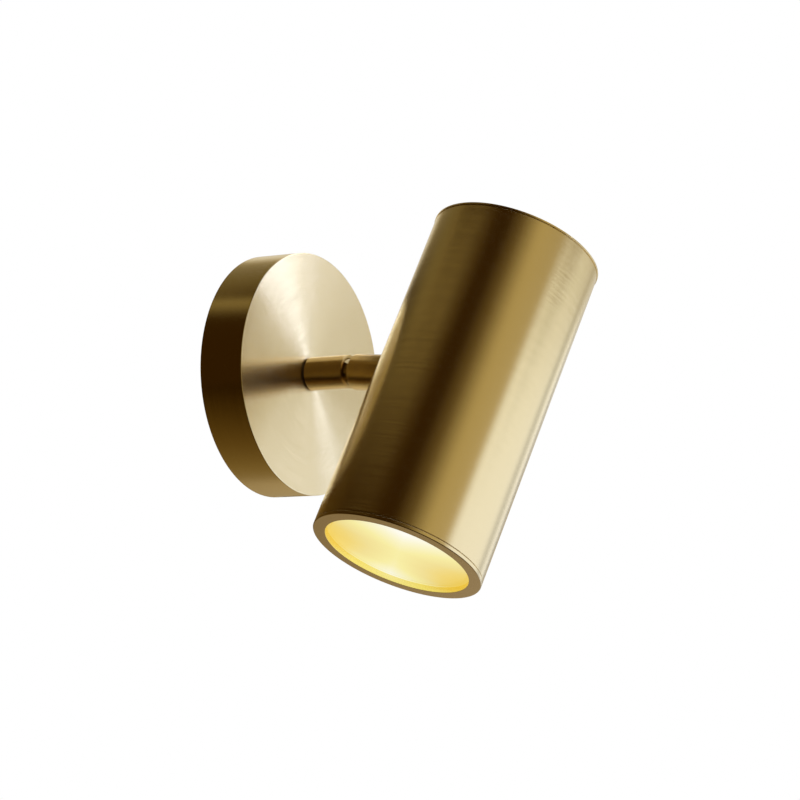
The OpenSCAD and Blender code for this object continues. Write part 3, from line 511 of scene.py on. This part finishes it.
# The head is a length of brass tube, brushed round as it turns in the lathe and lacquered. Its
# two ends stop at thin shadow seams, and one hole in its back takes the stem.
head_inner_r = 39.75 * mm
bezel_band = 1.8 * mm
seam = 0.3 * mm
cap_band = 0.9 * mm
head_length = 168 * mm
tube_edge = 0.25 * mm
stem_hole_r = 5.2 * mm
stem_drill = 8 * mm
hole_margin = 12 * mm
tube_low = bezel_band + seam
tube_high = head_length - cap_band - seam
hole_low = arm_height - hole_margin
hole_high = arm_height + hole_margin
tube_profile = [
    (head_inner_r, tube_low), (head_r, tube_low), (head_r, hole_low), (head_r, hole_high),
    (head_r, tube_high), (head_inner_r, tube_high), (head_inner_r, hole_high), (head_inner_r, hole_low),
]
tube = turn("brushed_tube", tube_profile, at_head, tube_edge)
hole_place = arm_in_head @ Matrix.Translation((0, head_r, 0)) @ Matrix.Rotation(math.radians(90), 4, "X")
bore(tube, hole_place, stem_hole_r, stem_drill)
satin_head = turned_brass("satin_brass_head", head_foot, head_axis, brass_base, brass_base)
smooth(tube, satin_head)
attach(tube, "head")
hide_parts("head_tube")


# The top cap is turned from brass bar: a flat disc with a band that stands a hair proud of the
# tube, a spigot that pushes into it, and two bosses underneath for the lampholder's bridge.
cap_proud = 0.3 * mm
cap_step = 1.9 * mm
cap_edge = 0.12 * mm
seam_depth = 0.5 * mm
spigot_slack = 0.05 * mm
spigot_wall = 1.6 * mm
spigot_length = 8 * mm
cap_r = head_r + cap_proud
seam_r = head_r - seam_depth
spigot_r = head_inner_r - spigot_slack
spigot_inner_r = spigot_r - spigot_wall
spigot_low = tube_high - spigot_length
cap_low = head_length - cap_band - cap_step
cap_profile = [
    (0, head_length), (cap_r, head_length), (cap_r, head_length - cap_band),
    (seam_r, head_length - cap_band), (seam_r, tube_high), (spigot_r, tube_high),
    (spigot_r, spigot_low), (spigot_inner_r, spigot_low), (spigot_inner_r, cap_low), (0, cap_low),
]
cap = turn("turned_cap", cap_profile, at_head, cap_edge)


def weld(piece, other):
    """Adds another mesh to a piece, as part of the same turning."""
    both = bmesh.new()
    both.from_mesh(piece.data)
    both.from_mesh(other.data)
    both.to_mesh(piece.data)
    both.free()
    bpy.data.objects.remove(other)


boss_reach = 26 * mm
boss_r = 4 * mm
boss_hole_r = 1.55 * mm
boss_edge = 0.2 * mm
boss_length = 7 * mm
boss_root = 0.5 * mm
boss_low = cap_low - boss_length
boss_top = cap_low + boss_root
boss_profile = [(boss_hole_r, boss_low), (boss_r, boss_low), (boss_r, boss_top), (boss_hole_r, boss_top)]
for boss_place in (-boss_reach, boss_reach):
    boss = turn("boss", boss_profile, at_head @ Matrix.Translation((boss_place, 0, 0)), boss_edge)
    weld(cap, boss)
smooth(cap, satin_head)
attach(cap, "head")
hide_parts("top_cap")


# Inside the head a folded steel bridge hangs from the cap and carries a glazed ceramic
# lampholder with its brass shell and contact. The lamp screws into it.
ceramic = moulded("ceramic", (0.88, 0.87, 0.83), 0.2, 0.03)
lamp_plastic = moulded("lamp_plastic", (0.88, 0.88, 0.86), 0.5, 0.03)
lamp_diffuser = moulded("lamp_diffuser", (0.95, 0.9, 0.78), 0.5, 0.02)
dress(zinc, "lamp_bridge", "bridge_screws", "holder_screws", "terminal_screws")
dress(plain_brass, "screw_shell", "centre_contact", "holder_terminals")
dress(ceramic, "lampholder")
dress(brown_lead, "head_lead_live")
dress(blue_lead, "head_lead_neutral")
dress(tinned, "lamp_cap")
dress(lamp_plastic, "lamp_body")
dress(lamp_diffuser, "lamp_globe")


# The frosted glass disc glows warm with the lamp's light, and a highlight is painted on the
# glow: palest in a band across its middle, golden at the two sides and round the edge. A
# silicone ring and a spring clip hold it in the bezel.
bezel_width = 6.1 * mm
ledge_width = 2.6 * mm
glass_low = 2.9 * mm
glass_thickness = 3 * mm
glass_edge = 0.3 * mm
opening_r = head_r - bezel_width
glass_r = opening_r + ledge_width
glass_high = glass_low + glass_thickness
glass_profile = [(0, glass_low), (glass_r, glass_low), (glass_r, glass_high), (0, glass_high)]
glass = turn("frosted_disc", glass_profile, at_head, glass_edge)


def ramp(wire, stops):
    """The colours of a wire from 0 to 1, from (place, colour) stops."""
    settings = {"stops": [(place, opaque(colour)) for place, colour in stops]}
    return wire.node("ShaderNodeValToRGB", settings, {0: wire})


def lit_glass(name, centre, band_line, side_line, painted_highlight_on_line, tones):
    """Frosted glass lit from behind, with a painted highlight on its glow. Its warmth changes
    along one line across the opening and grows to both sides of it, most behind the middle,
    and a thin golden line rounds the edge."""
    side_warmth = 0.45
    behind_warmth = 0.35
    edge_warmth = 0.2
    edge_place = 0.955
    edge_half_width = 0.008
    constants = {"Roughness": 0.4, "Emission Strength": 0.92, "Base Color": (0.06, 0.055, 0.04, 1)}
    material, shader, place = bare_finish(name, constants)
    from_centre = place.vector("SUBTRACT", tuple(centre))
    aside = (from_centre.dot(tuple(side_line)) * (1 / opening_r)).math("ABSOLUTE")
    ahead = from_centre.dot(tuple(band_line)) * (1 / opening_r)
    stops = [((share + 1) / 2, (warmth, warmth, warmth)) for share, warmth in painted_highlight_on_line]
    along = ramp(ahead * 0.5 + 0.5, stops)
    behind = (ahead * -behind_warmth).math("MAXIMUM", 0.0)
    edge = from_centre.length() * (1 / opening_r)
    sockets = {0: edge, 1: edge_place, 2: edge_half_width}
    edge_line = place.node("ShaderNodeMath", {"operation": "COMPARE"}, sockets)
    warmth = along + aside * (behind + side_warmth) + edge_line * edge_warmth
    ramp(warmth, tones).to(shader, "Emission Color")
    return material


# The painted highlight's band runs along this line, which is turned to point towards the camera.
band_turn = math.radians(-137.71)
band_line = at_head.to_3x3() @ Vector((math.cos(band_turn), math.sin(band_turn), 0))
side_line = head_axis.cross(band_line)
painted_highlight_on_line = [
    (-1.0, 0.08), (-0.85, 0.2), (-0.6, 0.41), (-0.3, 0.49), (0.0, 0.48), (0.3, 0.3), (0.7, 0.0),
]
glass_tones = [
    (0.0, (1.0, 1.0, 0.95)), (0.25, (0.97, 0.93, 0.62)), (0.5, (0.94, 0.86, 0.37)),
    (0.7, (0.88, 0.74, 0.29)), (0.85, (0.88, 0.67, 0.17)), (1.0, (0.88, 0.62, 0.10)),
]
smooth(glass, lit_glass("lit_glass", head_foot, band_line, side_line, painted_highlight_on_line, glass_tones))
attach(glass, "head")
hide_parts("frosted_glass")
dress(moulded("silicone", (0.72, 0.69, 0.62), 0.7, 0.1), "lens_gasket")
dress(zinc, "lens_clip")


# The bezel is a turned brass ring screwed into the tube's foot. Its flat face frames the
# opening, and the glass lies on a ledge inside it.
glass_slack = 0.2 * mm
bezel_spigot = 8.5 * mm
bezel_round = 0.5 * mm
bezel_edge = 0.12 * mm
gasket_space = 1.45 * mm
groove_height = 1.1 * mm
groove_depth = 0.6 * mm
bore_margin = 0.1 * mm
quarter_steps = 6
ledge_r = glass_r + glass_slack
bezel_top = tube_low + bezel_spigot
clip_low = glass_high + gasket_space
clip_high = clip_low + groove_height
clip_groove_r = ledge_r + groove_depth
quarter_turn = [math.radians(90 * step / quarter_steps) for step in range(quarter_steps + 1)]
round_centre_r = head_r - bezel_round
rounding = [(round_centre_r + bezel_round * math.sin(turned), bezel_round - bezel_round * math.cos(turned))
            for turned in quarter_turn]
bezel_profile = [(opening_r, 0)] + rounding + [
    (head_r, bezel_band), (seam_r, bezel_band), (seam_r, tube_low),
    (spigot_r, tube_low), (spigot_r, bezel_top), (ledge_r, bezel_top), (ledge_r, clip_high),
    (clip_groove_r, clip_high), (clip_groove_r, clip_low), (ledge_r, clip_low), (ledge_r, glass_low),
    (opening_r, glass_low),
]
bezel = turn("turned_bezel", bezel_profile, at_head, bezel_edge)
# The bezel's flat face is darker than its side as painted shade, and its bore takes the golden tone of a
# painted reflection of the glass.
bezel_face_painted_shade = (0.60, 0.50, 0.34)
satin_bezel = turned_brass("satin_brass_bezel", head_foot, head_axis, brass_base, bezel_face_painted_shade,
                           bore_r=opening_r + bore_margin)
smooth(bezel, satin_bezel)
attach(bezel, "head")
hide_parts("bezel_ring")


# The studio's floor is a pale painted sheet, level and square to the wall. It lies well below
# the lamp, and its paint has broad, faint clouds.
def floor_paint(name, dark, pale):
    """Matt paint with broad, faint clouds."""
    material, shader, place = bare_finish(name, {"Roughness": 0.7})
    noise(place, 3.0).mix(dark, pale).to(shader, "Base Color")
    return material


floor_height = -0.8
floor_size = 5.0
floor_shape = bmesh.new()
bmesh.ops.create_grid(floor_shape, x_segments=1, y_segments=1, size=floor_size / 2,
                      matrix=Matrix.Translation((0, 0, floor_height)))
floor = stand("floor", floor_shape)
floor.data.materials.append(floor_paint("floor_paint", (0.84, 0.83, 0.82), (0.86, 0.85, 0.84)))


# A round cloth tent stands about the head's own line, and only reflections see it. It is brown
# at the left and in front, and white at the right. High up, a bright leaning streak throws the
# pale ray on the plate.
tent_r = 0.6
tent_low = -0.4
tent_high = 0.9
tent_steps = 96
ground_margin = 0.01
upper_row = (0.15, 0.35)
top_row = (0.28, 0.36)
streak_rise = (0.44, 0.52)
streak_fade = (0.03, 0.01)
streak_turn = 0.847
streak_lean = 0.061
streak_tone = (2.2, 2.4, 3.1)
head_middle = at_head @ Vector((0, 0, head_length / 2))


def softly(wire, first, last):
    """From 0 at the first value to 1 at the last, without a hard line."""
    sockets = {0: wire, "From Min": first, "From Max": last}
    return wire.node("ShaderNodeMapRange", {"interpolation_type": "SMOOTHSTEP"}, sockets)


def tent_cloth(rows_of_tones, ground_tones):
    """Cloth that glows in bands round the line of the head: three rows of tones, the lowest
    first, with the streak across the top one, and on the tent's ground tones that pale behind
    the head."""
    material = bpy.data.materials.new("tent_cloth")
    material.use_nodes = True
    tree = material.node_tree
    tree.nodes.clear()
    place = Wire(tree, tree.nodes.new("ShaderNodeTexCoord").outputs["Object"])
    from_middle = place.vector("SUBTRACT", tuple(head_middle))
    ahead = from_middle.dot(tuple(band_line))
    aside = from_middle.dot(tuple(side_line))
    height = from_middle.dot(tuple(head_axis))
    turned = aside.math("ARCTAN2", ahead) * (0.5 / math.pi) + 0.5
    lower, upper, top = [ramp(turned, [((degrees + 180) / 360, tone) for degrees, tone in tones])
                         for tones in rows_of_tones]
    from_streak = (turned + height * (streak_lean / tent_r) - streak_turn).math("ABSOLUTE")
    streak = softly(from_streak, *streak_fade) * softly(height, *streak_rise)
    below = softly(height, *upper_row).mix(lower, upper)
    wall = softly(height, *top_row).mix(below, streak.mix(top, streak_tone))
    ground_stops = [((share + 1) / 2, tone) for share, tone in ground_tones]
    ground = ramp(ahead * (0.5 / tent_r) + 0.5, ground_stops)
    above_ground = height.math("GREATER_THAN", tent_low + ground_margin)
    glow = place.node("ShaderNodeEmission", {}, {"Color": above_ground.mix(ground, wall)})
    glow.to(tree.nodes.new("ShaderNodeOutputMaterial"), "Surface")
    material.cycles.emission_sampling = "NONE"
    return material


white_tone = (1.0, 1.0, 1.0)
dark_tone = (0.030, 0.012, 0.001)
dusk_tone = (0.12, 0.075, 0.02)
dim_tone = (0.16, 0.116, 0.041)
mid_tone = (0.48, 0.367, 0.152)
straw_tone = (0.50, 0.39, 0.19)
seam_tone = (0.4, 0.39, 0.37)
top_tones = [
    (-180, (0.70, 0.66, 0.58)), (-162, (0.75, 0.70, 0.60)), (-151, (0.76, 0.66, 0.48)),
    (-141, (0.30, 0.23, 0.11)), (-128, (0.21, 0.16, 0.08)), (-112, dim_tone),
    (-99, (0.12, 0.08, 0.025)), (-88, dark_tone), (-22, dark_tone), (-6, dusk_tone), (20, mid_tone),
    (50, (0.40, 0.31, 0.15)), (62, (0.36, 0.28, 0.15)), (84, (0.36, 0.29, 0.17)),
    (98, (0.62, 0.56, 0.42)), (108, (0.60, 0.54, 0.41)), (135, (0.50, 0.44, 0.32)),
    (158, (0.70, 0.66, 0.58)), (180, (0.70, 0.66, 0.58)),
]
upper_tones = [
    (-180, white_tone), (-166, white_tone), (-158, (0.78, 0.68, 0.50)), (-152, (0.22, 0.155, 0.07)),
    (-146, (0.01, 0.003, 0.0)), (-132, (0.02, 0.008, 0.001)), (-120, (0.09, 0.065, 0.02)),
    (-104, (0.25, 0.187, 0.066)), (-90, (0.34, 0.25, 0.085)), (-62, (0.36, 0.26, 0.086)),
    (-46, (0.15, 0.095, 0.026)), (-36, dark_tone), (-20, dark_tone), (-3, dusk_tone),
    (13, (0.38, 0.28, 0.11)), (21, mid_tone), (50, straw_tone), (58, (1.0, 0.97, 0.83)),
    (64, (1.2, 1.18, 1.02)), (72, (0.84, 0.81, 0.65)), (84, (1.0, 0.98, 0.88)),
    (104, (0.92, 0.91, 0.84)), (118, (0.96, 0.95, 0.9)), (125, (0.55, 0.54, 0.5)),
    (131, (0.55, 0.54, 0.5)), (136, (1.1, 1.1, 1.06)), (146, (1.1, 1.1, 1.06)),
    (150, seam_tone), (155, seam_tone), (160, white_tone), (180, white_tone),
]
lower_tones = [
    (-180, (0.42, 0.32, 0.17)), (-150, (0.10, 0.055, 0.01)), (-90, dark_tone), (-20, dark_tone),
    (0, dusk_tone), (24, mid_tone), (50, straw_tone), (60, white_tone), (118, white_tone),
    (125, (0.6, 0.6, 0.6)), (131, (0.6, 0.6, 0.6)), (136, white_tone), (146, white_tone),
    (150, seam_tone), (155, seam_tone), (162, (0.56, 0.46, 0.32)), (180, (0.42, 0.32, 0.17)),
]
ground_tones = [
    (-1, (0.27, 0.19, 0.08)), (-0.65, (0.20, 0.128, 0.035)), (-0.3, (0.11, 0.06, 0.01)),
    (0.05, (0.03, 0.012, 0.0005)), (0.3, (0.01, 0.004, 0.0)), (1, (0.01, 0.004, 0.0)),
]
tent_line = [(0, tent_low), (tent_r, tent_low), (tent_r, tent_high)]
tent_turn = Matrix((band_line, side_line, head_axis)).transposed().to_4x4()
tent_place = Matrix.Translation(head_middle) @ tent_turn
tent_shape = spun(tent_line, tent_steps, closed=False)
bmesh.ops.transform(tent_shape, matrix=tent_place, verts=tent_shape.verts[:])
tent = stand("tent", tent_shape)
tent.data.materials.append(tent_cloth((lower_tones, upper_tones, top_tones), ground_tones))
tent.visible_camera = False
tent.visible_diffuse = False
tent.visible_transmission = False
tent.visible_shadow = False


# An even surround lights the room, pure white where the camera or a reflection sees it. A soft
# lamp stands at the right of the head, above it and in front of the wall.
surround_shade = (0.85, 0.85, 0.85)
world = bpy.data.worlds.new("white_surround")
bpy.context.scene.world = world
world.use_nodes = True
world_tree = world.node_tree
background = world_tree.nodes["Background"]
rays = world_tree.nodes.new("ShaderNodeLightPath")
camera_ray, glossy_ray, through_ray = [
    Wire(world_tree, rays.outputs[kind])
    for kind in ("Is Camera Ray", "Is Glossy Ray", "Is Transmission Ray")
]
seen_ray = camera_ray.math("MAXIMUM", glossy_ray).math("MAXIMUM", through_ray)
seen_ray.mix(surround_shade, white_tone).to(background, "Color")

soft_lamp = bpy.data.lights.new("soft_lamp", "AREA")
soft_lamp.shape = "RECTANGLE"
soft_lamp.size = 0.5
soft_lamp.size_y = 1.3
soft_lamp.energy = 5.0
lamp_place = Vector((1.75, -1.1, 1.3))
lamp = bpy.data.objects.new("soft_lamp", soft_lamp)
lamp.location = lamp_place
lamp.rotation_euler = (-lamp_place).to_track_quat("-Z", "Y").to_euler()
bpy.context.scene.collection.objects.link(lamp)

bpy.context.scene.view_settings.view_transform = "Standard"
